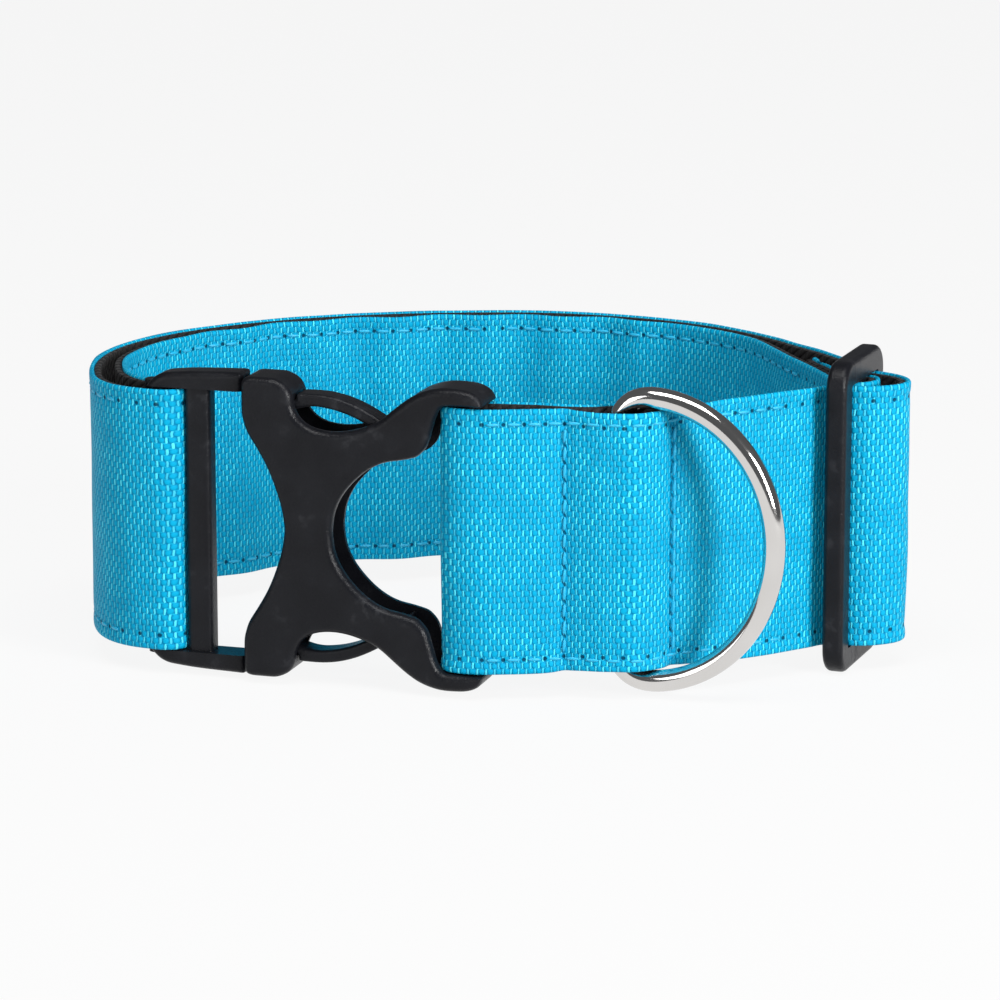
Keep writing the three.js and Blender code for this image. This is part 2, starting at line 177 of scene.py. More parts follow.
points += [on_back(-64.6, 0.53), on_back(-71, 0.37), on_back(-74.6, 0.22)]
points += [(-76.4, 49.5), (-76.8, 43.6), (-76.4, 37.3), (-75.2, 30.5), (-72.8, 25.7), (-69.2, 22.1)]
points += [in_buckle(-66.55, -2.82)]
marks["male_bar"] = len(points) - 1
points += [*round_bar(in_buckle, -65.5, 0, 2.82, -90, 90), in_buckle(-67.55, 2.82)]
points += [(-68.4, 29.3), (-71.4, 34.6), (-72.9, 42), (-73.1, 49.5)]
points += [on_back(-71.3, 0.21), on_back(-67.6, 0.36), on_back(-62.4, 0.5), on_back(-56.6, 0.61)]
marks["left_end"] = len(points) - 1
points += inner_back
marks["inner_middle"] = min(range(marks["left_end"] + 1, len(points)), key=lambda i: abs(points[i][0]))
points += [(50.4, 69.6), (53.9, 60.3)]
marks["inner_end"] = len(points) - 1
points += [(56.6, 51.5), in_slider(11.5, -12.4), in_slider(5.5, -7.6), in_slider(1, -4.4)]
points += round_bar(in_slider, -0.25, 0, 3.12, -120, -270)
points += [
    in_slider(*p)
    for p in (
        (0.6, 3.12), (2.4, 2.4), (3.25, 0.4), (3.4, -1.7), (4.4, -4), (6.7, -6.5), (9.6, -8.9), (12.6, -11.3),
    )
]
marks["loop_seam"] = len(points) - 1
points += [in_slider(15.5, -13.6)]

line = curve_through(points)
reach = np.concatenate([[0], np.cumsum(np.linalg.norm(np.diff(line, axis=0), axis=1))])
mark = {name: reach[24 * i] for name, i in marks.items()}
strap_length = reach[-1]


def strap_at(s):
    """Plan places and rightward directions at distances s along the strap."""
    s = np.asarray(s, float)
    x, y = np.interp(s, reach, line[:, 0]), np.interp(s, reach, line[:, 1])
    e = 0.35
    tx = np.interp(s + e, reach, line[:, 0]) - np.interp(s - e, reach, line[:, 0])
    ty = np.interp(s + e, reach, line[:, 1]) - np.interp(s - e, reach, line[:, 1])
    long = np.hypot(tx, ty)
    return x, y, ty / long, -tx / long


# The webbing: black woven polypropylene tape, 50 mm wide and 1.4 mm thick, with a diagonal rib.
# It is one continuous length. It is cut here only where a run passes from one moving piece to the next.
LAYER_STEP, RIPPLE, RIPPLE_PITCH = 0.8, 0.9, 17.0
CROSS_SEAMS = ("buckle_seam", "ring_seam", "loop_seam")
runs = {
    "front": (0, mark["bend_end"]),
    "back_outer": (mark["bend_end"], mark["outer_middle"]),
    "left": (mark["outer_middle"], mark["inner_middle"]),
    "back_inner": (mark["inner_middle"], strap_length),
}


def ripple(s):
    """The inner layer is a little long for its place, so it stands off the outer one in soft waves."""
    first, last = mark["left_end"] - 16, mark["inner_end"] - 26
    ease = np.clip(np.minimum(s - first, last - s) / 18, 0, 1)
    wave = 1 + np.sin((s - first) * 2 * math.pi / RIPPLE_PITCH) * 0.75 + 0.25 * np.sin(s * 0.19 + 1)
    return RIPPLE * wave * ease * ease * (3 - 2 * ease)


def pulled_in(s):
    """How far the cross seams pull the cloth down."""
    return sum(0.5 * np.exp(-(((s - mark[seam]) / 1.5) ** 2)) for seam in CROSS_SEAMS)


def off_line(s):
    """How far the strap stands off its line: the soft waves, the ring's pocket and the seams."""
    pocket = 0.7 * np.exp(-(((s - mark["buckle_seam"] - 7.5) / 3.6) ** 2))
    under_ring = 0.7 * np.exp(-(((s - mark["ring_seam"] - 6) / 7.5) ** 4))
    return ripple(s) + pocket - under_ring - 0.3 * pulled_in(s)


def layer(name, ends, section, unevenness=0.0):
    """A closed layer of the strap. section is the outline across it, as (distance from the centre, height).
    Its UV map holds the distances along and across the strap in metres, so a weave runs on between pieces."""
    count = round((ends[1] - ends[0]) / LAYER_STEP)
    s = np.linspace(ends[0], ends[1], count + 1)
    x, y, nx, ny = strap_at(s)
    dip, lift = pulled_in(s), off_line(s)
    # both layers of the ring's pocket are a little narrower, which leaves the ring's wire room at the edges
    pocket_layers = (9, mark["buckle_seam"] + 14)
    pinch = 1 - sum(0.026 * np.exp(-(((s - middle) / 15) ** 4)) for middle in pocket_layers)
    mesh = bpy.data.meshes.new(name)
    made = bmesh.new()
    uv = made.loops.layers.uv.new("UVMap")
    rings = []
    for i in range(count + 1):
        ring = []
        for d, z in section:
            soft = unevenness * noise.noise(Vector((s[i] * 0.11, z * 0.07, 3.0)))
            edge = 0.25 * unevenness * noise.noise(Vector((s[i] * 0.09, 7.0, math.copysign(5, z))))
            far = d + lift[i] + (soft - dip[i] if d > 0.9 else 0)
            spot = place(x[i] + nx[i] * far, y[i] + ny[i] * far, z * (pinch[i] + edge / STRAP_HALF))
            ring.append(made.verts.new(spot))
        rings.append(ring)
    across = [z for _, z in section]
    n = len(section)
    for i in range(count):
        for j in range(n):
            k = (j + 1) % n
            face = made.faces.new((rings[i][j], rings[i + 1][j], rings[i + 1][k], rings[i][k]))
            for loop, (a, b) in zip(face.loops, ((i, j), (i + 1, j), (i + 1, k), (i, k))):
                loop[uv].uv = (s[a] * 1e-3, (across[b] + STRAP_HALF) * 1e-3)
    for ring, at in ((rings[0], s[0]), (rings[-1], s[-1])):
        face = made.faces.new(ring)
        for loop, z in zip(face.loops, across):
            loop[uv].uv = (at * 1e-3, (z + STRAP_HALF) * 1e-3)
    bmesh.ops.recalc_face_normals(made, faces=made.faces)
    made.to_mesh(mesh)
    made.free()
    mesh.shade_smooth()
    mesh.set_sharp_from_angle(angle=math.radians(50))
    piece = bpy.data.objects.new(name, mesh)
    bpy.context.scene.collection.objects.link(piece)
    return piece


def calc(tree, operation, *values):
    """One Math node, and its result."""
    node = tree.nodes.new("ShaderNodeMath")
    node.operation = operation
    for socket, value in zip(node.inputs, values):
        if isinstance(value, (int, float)):
            socket.default_value = value
        else:
            tree.links.new(value, socket)
    return node.outputs[0]


def soften(tree, value, low, high):
    """0 below low and 1 above high, eased in between."""
    node = tree.nodes.new("ShaderNodeMapRange")
    node.interpolation_type = "SMOOTHSTEP"
    tree.links.new(value, node.inputs["Value"])
    node.inputs["From Min"].default_value = low
    node.inputs["From Max"].default_value = high
    return node.outputs["Result"]


def mixed(tree, share, a, b):
    """A mix of two colours, each a colour or a socket."""
    node = tree.nodes.new("ShaderNodeMix")
    node.data_type = "RGBA"
    node.clamp_factor = True
    for socket, value in ((node.inputs[0], share), (node.inputs[6], a), (node.inputs[7], b)):
        if isinstance(value, (tuple, float, int)):
            socket.default_value = (*value, 1) if isinstance(value, tuple) else value
        else:
            tree.links.new(value, socket)
    return node.outputs[2]


def new_finish(name, roughness):
    """A material, its tree and its main shader."""
    material = bpy.data.materials.new(name)
    material.use_nodes = True
    tree = material.node_tree
    shader = tree.nodes["Principled BSDF"]
    shader.inputs["Roughness"].default_value = roughness
    return material, tree, shader


def raised(tree, shader, height, distance, strength=1.0):
    """Fine relief on a finish, so many metres high."""
    bump = tree.nodes.new("ShaderNodeBump")
    bump.inputs["Distance"].default_value = distance
    bump.inputs["Strength"].default_value = strength
    tree.links.new(height, bump.inputs["Height"])
    tree.links.new(bump.outputs["Normal"], shader.inputs["Normal"])


def strap_grid(tree):
    """Distances along and across the strap, in millimetres, from the piece's UV map."""
    uv = tree.nodes.new("ShaderNodeUVMap")
    uv.uv_map = "UVMap"
    split = tree.nodes.new("ShaderNodeSeparateXYZ")
    tree.links.new(uv.outputs["UV"], split.inputs[0])
    return calc(tree, "MULTIPLY", split.outputs[0], 1000.0), calc(tree, "MULTIPLY", split.outputs[1], 1000.0)


def speckle(tree, a, b, scale):
    """Soft noise over two distances in millimetres."""
    join = tree.nodes.new("ShaderNodeCombineXYZ")
    tree.links.new(a, join.inputs[0])
    tree.links.new(b, join.inputs[1])
    grain = tree.nodes.new("ShaderNodeTexNoise")
    grain.inputs["Scale"].default_value = scale
    grain.inputs["Detail"].default_value = 2.0
    tree.links.new(join.outputs[0], grain.inputs["Vector"])
    return grain.outputs["Fac"]


webbing, tree, shader = new_finish("black webbing", 0.62)
along, across = strap_grid(tree)
rib = calc(tree, "ADD", calc(tree, "DIVIDE", across, 1.9), calc(tree, "DIVIDE", along, 2.6))
rib = calc(tree, "SUBTRACT", calc(tree, "MULTIPLY", calc(tree, "FRACT", rib), 2.0), 1.0)
rib = calc(tree, "SUBTRACT", 1.0, calc(tree, "POWER", calc(tree, "ABSOLUTE", rib), 2.0))
pick = calc(tree, "ABSOLUTE", calc(tree, "SINE", calc(tree, "MULTIPLY", along, math.pi / 1.3)))
knit = calc(tree, "MULTIPLY", rib, calc(tree, "ADD", 0.55, calc(tree, "MULTIPLY", pick, 0.45)))
fuzz = speckle(tree, along, across, 3.0)
tone = mixed(tree, soften(tree, knit, 0.1, 0.9), (0.002, 0.002, 0.0025), (0.011, 0.0105, 0.011))
tone = mixed(tree, calc(tree, "MULTIPLY", fuzz, 0.35), tone, (0.03, 0.028, 0.028))
tree.links.new(tone, shader.inputs["Base Color"])
shader.inputs["Specular IOR Level"].default_value = 0.2
shader.inputs["Sheen Weight"].default_value = 0.04
shader.inputs["Sheen Roughness"].default_value = 0.4
raised(tree, shader, calc(tree, "ADD", knit, calc(tree, "MULTIPLY", fuzz, 0.25)), 0.00028)

tape = [(-WEB_HALF, 24.3), (-0.55, 24.66), (0, 24.8), (0.55, 24.66), (WEB_HALF, 24.3)]
tape_section = [*tape, *[(WEB_HALF, z) for z in (12, 0, -12)]]
tape_section += [*[(d, -z) for d, z in reversed(tape)], *[(-WEB_HALF, z) for z in (-12, 0, 12)]]
webbing_pieces = {}
for run, ends in runs.items():
    tape_piece = layer("strap_webbing_" + run, ends, tape_section)
    tape_piece.data.materials.append(webbing)
    webbing_pieces[run] = tape_piece


def length_of(tree, a, b):
    """The length of two steps at right angles."""
    return calc(tree, "SQRT", calc(tree, "ADD", calc(tree, "POWER", a, 2.0), calc(tree, "POWER", b, 2.0)))


# The cover: a cyan polyester plain weave, folded under at both edges and sewn over the webbing's outer face.
# The folds stand up as a soft rim outside the stitching, which pulls the cloth down in a shallow groove.
CELL, ROW = 1.48, 1.14
STITCH_PITCH, STITCH_ROW, SEAM_PITCH, SEAM_REACH, SEAM_STITCHES = 3.8, 22.2, 3.3, 19.8, 13
cloth, tree, shader = new_finish("cyan canvas", 0.5)
along, across = strap_grid(tree)
waver = calc(tree, "SUBTRACT", speckle(tree, along, across, 0.35), 0.5)
cell = calc(tree, "DIVIDE", calc(tree, "ADD", along, calc(tree, "MULTIPLY", waver, 0.6)), CELL)
row = calc(tree, "DIVIDE", calc(tree, "ADD", across, calc(tree, "MULTIPLY", waver, 0.4)), ROW)
row = calc(tree, "ADD", row, 8.0)
row_number = calc(tree, "FLOOR", row)
shifted = calc(tree, "ADD", cell, calc(tree, "MULTIPLY", calc(tree, "MODULO", row_number, 2.0), 0.5))
cell_x = calc(tree, "SUBTRACT", calc(tree, "FRACT", shifted), 0.5)
cell_y = calc(tree, "MULTIPLY", calc(tree, "SUBTRACT", calc(tree, "FRACT", row), 0.5), 2.0)
cell_y_square = calc(tree, "MULTIPLY", cell_y, cell_y)
# the fat yarns that lie along the strap, and the thin ones that cross over them, which carry a painted glint
weft_x = calc(tree, "POWER", calc(tree, "DIVIDE", calc(tree, "ABSOLUTE", cell_x), 0.36), 2.0)
weft = calc(tree, "SUBTRACT", 1.0, calc(tree, "ADD", weft_x, calc(tree, "MULTIPLY", cell_y_square, 0.75)))
weft = calc(tree, "MAXIMUM", weft, 0.0)
warp_x = calc(tree, "DIVIDE", calc(tree, "SUBTRACT", 0.5, calc(tree, "ABSOLUTE", cell_x)), 0.135)
warp = calc(tree, "ADD", calc(tree, "POWER", warp_x, 2.0), calc(tree, "MULTIPLY", cell_y_square, 0.3))
warp = calc(tree, "MAXIMUM", calc(tree, "SUBTRACT", 1.0, warp), 0.0)
# each crossing yarn slips sideways under the next row; a painted highlight lies on one side of the step and
# painted shade on the other
border = soften(tree, calc(tree, "ABSOLUTE", cell_y), 0.6, 0.95)
side = calc(tree, "MULTIPLY", cell_x, calc(tree, "SIGN", cell_y))
painted_highlight_step = calc(tree, "MULTIPLY", border, calc(tree, "SUBTRACT", 1.0, soften(tree, side, -0.1, 0.0)))
painted_shade_step = calc(tree, "MULTIPLY", border, soften(tree, side, 0.0, 0.12))
join = tree.nodes.new("ShaderNodeCombineXYZ")
tree.links.new(calc(tree, "FLOOR", calc(tree, "ADD", shifted, 0.5)), join.inputs[0])
tree.links.new(row_number, join.inputs[1])
chance = tree.nodes.new("ShaderNodeTexWhiteNoise")
chance.noise_dimensions = "2D"
tree.links.new(join.outputs[0], chance.inputs["Vector"])
# random strength of the painted glints, cell by cell and in soft patches
glint_strength = calc(tree, "ADD", 0.5, calc(tree, "MULTIPLY", chance.outputs["Value"], 0.5))
patchy = soften(tree, speckle(tree, along, across, 0.11), 0.3, 0.62)
glint_strength = calc(tree, "MULTIPLY", glint_strength, calc(tree, "ADD", 0.55, calc(tree, "MULTIPLY", patchy, 0.45)))
# painted shade: the colour is darker in the gaps between the yarns and towards the edges of each float
shade = mixed(tree, soften(tree, weft, 0.0, 0.9), (0.0, 0.21, 0.4), (0.0, 0.315, 0.53))
# painted shade on one side of each step, then a painted highlight on the other side
shade = mixed(tree, calc(tree, "MULTIPLY", painted_shade_step, 0.55), shade, (0.0, 0.17, 0.34))
painted_highlight = calc(tree, "MULTIPLY", calc(tree, "MULTIPLY", painted_highlight_step, 0.6), glint_strength)
shade = mixed(tree, painted_highlight, shade, (0.01, 0.56, 0.78))
# painted glint: the crossing yarns are coloured bright
shade = mixed(tree, calc(tree, "MULTIPLY", soften(tree, warp, 0.02, 0.6), glint_strength), shade, (0.1, 0.76, 0.9))
wide = speckle(tree, along, across, 0.09)
shade = mixed(tree, calc(tree, "MULTIPLY", wide, 0.16), shade, (0.0, 0.25, 0.5))
# needle holes at the ends of the stitches, in the edge rows and in the cross rows
hole_x = calc(tree, "FRACT", calc(tree, "ADD", 0.5, calc(tree, "DIVIDE", along, STITCH_PITCH)))
hole_x = calc(tree, "MULTIPLY", calc(tree, "ABSOLUTE", calc(tree, "SUBTRACT", hole_x, 0.5)), STITCH_PITCH)
from_middle = calc(tree, "SUBTRACT", across, STRAP_HALF)
hole_y = calc(tree, "SUBTRACT", calc(tree, "ABSOLUTE", from_middle), STITCH_ROW)
hole = length_of(tree, hole_x, hole_y)
holes = calc(tree, "SUBTRACT", 1.0, soften(tree, hole, 0.2, 0.5))
painted_seam_shade = None
for seam in CROSS_SEAMS:
    off = calc(tree, "SUBTRACT", along, mark[seam])
    up = calc(tree, "ADD", calc(tree, "DIVIDE", from_middle, SEAM_PITCH), 8.0)
    up = calc(tree, "SUBTRACT", calc(tree, "FRACT", up), 0.5)
    up = calc(tree, "MULTIPLY", up, SEAM_PITCH)
    leaning = calc(tree, "ADD", off, calc(tree, "MULTIPLY", up, 0.45))
    far = length_of(tree, leaning, calc(tree, "MULTIPLY", up, 0.55))
    pit = calc(tree, "MULTIPLY", calc(tree, "SUBTRACT", 1.0, soften(tree, far, 0.12, 0.45)), 0.75)
    inside = calc(tree, "LESS_THAN", calc(tree, "ABSOLUTE", from_middle), SEAM_REACH + 1.5)
    holes = calc(tree, "MAXIMUM", holes, calc(tree, "MULTIPLY", pit, inside))
    close = calc(tree, "SUBTRACT", 1.0, soften(tree, calc(tree, "ABSOLUTE", off), 0.3, 1.1))
    painted_seam_shade = close if painted_seam_shade is None else calc(tree, "MAXIMUM", painted_seam_shade, close)
# painted shade along the groove of each cross seam
shade = mixed(tree, calc(tree, "MULTIPLY", painted_seam_shade, 0.35), shade, (0.0, 0.27, 0.52))
shade = mixed(tree, calc(tree, "MULTIPLY", holes, 0.9), shade, (0.0, 0.02, 0.06))
tree.links.new(shade, shader.inputs["Base Color"])
shader.inputs["Specular IOR Level"].default_value = 0.07
tree.links.new(calc(tree, "SUBTRACT", 0.6, calc(tree, "MULTIPLY", warp, 0.28)), shader.inputs["Roughness"])
warp_height = calc(tree, "MULTIPLY", calc(tree, "SQRT", warp), 0.9)
height = calc(tree, "MAXIMUM", calc(tree, "SQRT", weft), warp_height)
height = calc(tree, "SUBTRACT", height, calc(tree, "MULTIPLY", holes, 1.6))
raised(tree, shader, height, 0.00016)

rim = [(0.72, 24.7), (0.8, 24.93), (1.1, 25.05), (1.4, 24.97), (1.56, 24.72), (1.6, 24.2), (1.57, 23.4)]
rim += [(1.46, 22.7), (1.4, 22.2), (1.44, 21.7), (1.5, 21.0), (1.52, 19.0)]
cloth_face = [(1.52, z) for z in (15.5, 12, 8.5, 5, 1.7, -1.7, -5, -8.5, -12, -15.5)]
cloth_section = [*rim, *cloth_face, *[(d, -z) for d, z in reversed(rim)]]
cloth_section += [(0.72, z) for z in (-12, 0, 12)]
cover_pieces = {}
for run, ends in runs.items():
    cover_piece = layer("strap_cover_" + run, ends, cloth_section, unevenness=0.28)
    cover_piece.data.materials.append(cloth)
    cover_pieces[run] = cover_piece


# The sewing: cyan bonded thread. Two rows follow the strap's edges on every open stretch, and three cross
# rows close the buckle's fold, the ring's pocket and the slider's loop.
thread, tree, shader = new_finish("cyan thread", 0.45)
coordinates = tree.nodes.new("ShaderNodeTexCoord")
twist = tree.nodes.new("ShaderNodeTexNoise")
twist.inputs["Scale"].default_value = 3200.0
tree.links.new(coordinates.outputs["Object"], twist.inputs["Vector"])
tone = mixed(tree, twist.outputs["Fac"], (0.0, 0.27, 0.47), (0.0, 0.42, 0.66))
tree.links.new(tone, shader.inputs["Base Color"])
shader.inputs["Sheen Weight"].default_value = 0.1
raised(tree, shader, twist.outputs["Fac"], 0.00008)

stitching = bpy.data.node_groups.new("row of stitches", "GeometryNodeTree")
stitching.interface.new_socket("Geometry", in_out="INPUT", socket_type="NodeSocketGeometry")
settings = {}
for name, kind, value in (
    ("Stitches", "NodeSocketInt", 10), ("From the strap's centre", "NodeSocketFloat", 0.00146),
    ("Row height", "NodeSocketFloat", 0.0), ("Stitch length", "NodeSocketFloat", 0.0027),
    ("Thread width", "NodeSocketFloat", 0.0006), ("Thread rise", "NodeSocketFloat", 0.0005),
    ("Slant", "NodeSocketFloat", 0.0), ("Thread", "NodeSocketMaterial", None),
):
    socket = stitching.interface.new_socket(name, in_out="INPUT", socket_type=kind)
    if value is not None:
        socket.default_value = value
    settings[name] = socket.identifier
stitching.interface.new_socket("Geometry", in_out="OUTPUT", socket_type="NodeSocketGeometry")
n = stitching.nodes
given, result = n.new("NodeGroupInput"), n.new("NodeGroupOutput")
link = stitching.links.new
to_curve, even = n.new("GeometryNodeMeshToCurve"), n.new("GeometryNodeResampleCurve")
link(given.outputs["Geometry"], to_curve.inputs["Mesh"])
link(to_curve.outputs["Curve"], even.inputs["Curve"])
link(given.outputs["Stitches"], even.inputs["Count"])
heading = n.new("GeometryNodeInputTangent")
parts_of, right = n.new("ShaderNodeSeparateXYZ"), n.new("ShaderNodeCombineXYZ")
link(heading.outputs[0], parts_of.inputs[0])
link(parts_of.outputs["Y"], right.inputs["X"])
link(calc(stitching, "MULTIPLY", parts_of.outputs["X"], -1.0), right.inputs["Y"])
outward, both = n.new("ShaderNodeVectorMath"), n.new("ShaderNodeVectorMath")
up = n.new("ShaderNodeCombineXYZ")
outward.operation = "SCALE"
link(right.outputs[0], outward.inputs[0])
link(given.outputs["From the strap's centre"], outward.inputs["Scale"])
link(given.outputs["Row height"], up.inputs["Z"])
link(outward.outputs[0], both.inputs[0])
link(up.outputs[0], both.inputs[1])
onto_face = n.new("GeometryNodeSetPosition")
link(even.outputs["Curve"], onto_face.inputs["Geometry"])
link(both.outputs[0], onto_face.inputs["Offset"])
aim = n.new("FunctionNodeAlignRotationToVector")
lean, leaning = n.new("FunctionNodeRotateRotation"), n.new("FunctionNodeAxisAngleToRotation")
aim.axis = "X"
lean.rotation_space = "LOCAL"
leaning.inputs["Axis"].default_value = (0, 1, 0)
link(heading.outputs[0], aim.inputs["Vector"])
link(given.outputs["Slant"], leaning.inputs["Angle"])
link(aim.outputs[0], lean.inputs["Rotation"])
link(leaning.outputs[0], lean.inputs["Rotate By"])
bead, bead_size = n.new("GeometryNodeMeshUVSphere"), n.new("GeometryNodeTransform")
bead_scale = n.new("ShaderNodeCombineXYZ")
for measure, value in (("Segments", 8), ("Rings", 6), ("Radius", 0.5)):
    bead.inputs[measure].default_value = value
link(given.outputs["Stitch length"], bead_scale.inputs["X"])
link(given.outputs["Thread rise"], bead_scale.inputs["Y"])
link(given.outputs["Thread width"], bead_scale.inputs["Z"])
link(bead.outputs["Mesh"], bead_size.inputs["Geometry"])
link(bead_scale.outputs[0], bead_size.inputs["Scale"])
sew, real = n.new("GeometryNodeInstanceOnPoints"), n.new("GeometryNodeRealizeInstances")
paint = n.new("GeometryNodeSetMaterial")
link(onto_face.outputs["Geometry"], sew.inputs["Points"])
link(bead_size.outputs["Geometry"], sew.inputs["Instance"])
link(lean.outputs[0], sew.inputs["Rotation"])
link(sew.outputs["Instances"], real.inputs["Geometry"])
link(real.outputs["Geometry"], paint.inputs["Geometry"])
link(given.outputs["Thread"], paint.inputs["Material"])
link(paint.outputs["Geometry"], result.inputs["Geometry"])


def sewn(name, places, **sizes):
    """One row of stitches along these places, as a plain mesh."""
    guide = bpy.data.meshes.new(name)
    guide.from_pydata([place(*p) for p in places], [(i, i + 1) for i in range(len(places) - 1)], [])
    row_piece = bpy.data.objects.new(name, guide)
    bpy.context.scene.collection.objects.link(row_piece)
    modifier = row_piece.modifiers.new("stitches", "NODES")
    modifier.node_group = stitching
    for key, value in {"Thread": thread, **sizes}.items():
        modifier[settings[key]] = value
    evaluated = row_piece.evaluated_get(bpy.context.evaluated_depsgraph_get())
    sewn_mesh = bpy.data.meshes.new_from_object(evaluated)
    bpy.data.objects.remove(row_piece)
    return sewn_mesh


def sewn_rows(name, rows, crossings=()):
    """The stitches on one run of the strap, as one piece. rows are the edge rows' (start, end) distances,
    and crossings are the cross rows' (distance, slant)."""
    meshes = []
    for start, end in rows:
        first = math.ceil(start / STITCH_PITCH) + 0.5
        last = math.floor(end / STITCH_PITCH) - 0.5
        stitches = round(last - first) + 1
        s = np.linspace(first * STITCH_PITCH, last * STITCH_PITCH, (stitches - 1) * 6 + 1)
        x, y, nx, ny = strap_at(s)
        middle = [(a + c * l, b + d * l, 0) for a, b, c, d, l in zip(x, y, nx, ny, off_line(s))]
        for side in (1, -1):
            sizes = {"Stitches": stitches, "Row height": side * STITCH_ROW * 1e-3}
            meshes.append(sewn(name, middle, **sizes))
    for at, slant in crossings:
        (x,), (y,), (nx,), (ny,) = strap_at([at])
        high = [(x + nx * 1.2, y + ny * 1.2, z) for z in np.linspace(-SEAM_REACH, SEAM_REACH, SEAM_STITCHES)]
        sizes = {"Stitches": SEAM_STITCHES, "From the strap's centre": 0.0, "Slant": slant}
        meshes.append(sewn(name, high, **sizes))
    made = bmesh.new()
    for mesh in meshes:
        made.from_mesh(mesh)
    bmesh.ops.recalc_face_normals(made, faces=made.faces)
    joined = bpy.data.meshes.new(name)
    made.to_mesh(joined)
    made.free()
    joined.materials.append(thread)
    joined.shade_smooth()
    piece = bpy.data.objects.new(name, joined)
    bpy.context.scene.collection.objects.link(piece)
    return piece


edge_rows = {
    "front": [
        (1, mark["buckle_seam"] - 36),
        (mark["buckle_seam"] - 17, mark["front_end"]),
        (mark["front_end"] + 24, mark["bend_end"] - 21),
    ],
    "back_outer": [(mark["bend_end"], mark["outer_middle"])],
    "left": [(mark["outer_middle"], mark["male_bar"] - 6), (mark["male_bar"] + 16, mark["inner_middle"])],
    "back_inner": [(mark["inner_middle"], mark["inner_end"] + 16)],
}
cross_rows = {
    "front": [(mark["buckle_seam"], 0.09), (mark["ring_seam"], 0.09)],
    "back_inner": [(mark["loop_seam"], 0.0)],
}
stitch_pieces = {
    run: sewn_rows("stitches_" + run, rows, cross_rows.get(run, ())) for run, rows in edge_rows.items()
}

# Each run's pieces are set in the frame, and the model's parts that they stand for are hidden.
stood_for = {
    "front": ("front", "slider_bend"), "back_outer": ("back_outer",), "left": ("left_turn",),
    "back_inner": ("back_inner", "slider_loop"),
}
rows_for = {
    "front": ("pocket", "front", "slider_bend"), "back_outer": ("back_outer",),
    "left": ("left_outer", "left_inner"),
    "back_inner": ("back_inner", "slider_loop"),
}
seams_for = {"front": ("seam_buckle", "seam_ring"), "back_inner": ("seam_slider",)}
joined_at = {
    "front": ("collar", "slider", (31.4, 5.1), (56.5, 20.5)),
    "back_outer": ("collar", "slider", (5, 95), (64, 50)),
    "left": ("collar", "male_half", (-2, 93), (-72, 60)),
    "back_inner": ("collar", "slider", (5, 95), (64, 50)),
}
for run, ends in runs.items():
    a, b, start, end = joined_at[run]
    for piece in (webbing_pieces[run], cover_pieces[run], stitch_pieces[run]):
        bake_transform(piece)
    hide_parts(*["webbing_" + part for part in stood_for[run]])
    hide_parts(*["cover_" + part for part in stood_for[run]])
    sewn_nodes = [f"stitch_{side}_{part}" for part in rows_for[run] for side in ("upper", "lower")]
    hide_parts(*sewn_nodes, *seams_for.get(run, ()))


# The female half of the side release buckle: one black acetal moulding with a soft spark-grain face.
# Two X-shaped plates are held apart by the corner housings, the waist and the lobes at the strap bar.
BUCKLE_HALF, PLATE, BUCKLE_TOP, HOUSING_WALL = 5.0, 2.0, 28.5, 3.9
OPEN_HALF = 25.3
here = (BUCKLE_AT, BUCKLE_TURN)


def evened(outline, step=0.5, passes=5):
    """A closed outline with evenly spaced points and its corners softened."""
    ring = np.array([*outline, outline[0]], float)
    far = np.concatenate([[0], np.cumsum(np.linalg.norm(np.diff(ring, axis=0), axis=1))])
    s = np.linspace(0, far[-1], round(far[-1] / step) + 1)[:-1]
    even_ring = np.stack([np.interp(s, far, ring[:, 0]), np.interp(s, far, ring[:, 1])], axis=1)
    for _ in range(passes):
        even_ring = 0.5 * even_ring + 0.25 * (np.roll(even_ring, 1, 0) + np.roll(even_ring, -1, 0))
    return even_ring


def curved(*through, spans=6):
    """A smooth stretch of an outline."""
    return [tuple(p) for p in curve_through(through, spans)]


def mirrored(upper):
    """The upper half of an outline and its mirror image below."""
    return [*upper, *[(x, -z) for x, z in reversed(upper) if abs(z) > 0.01]]


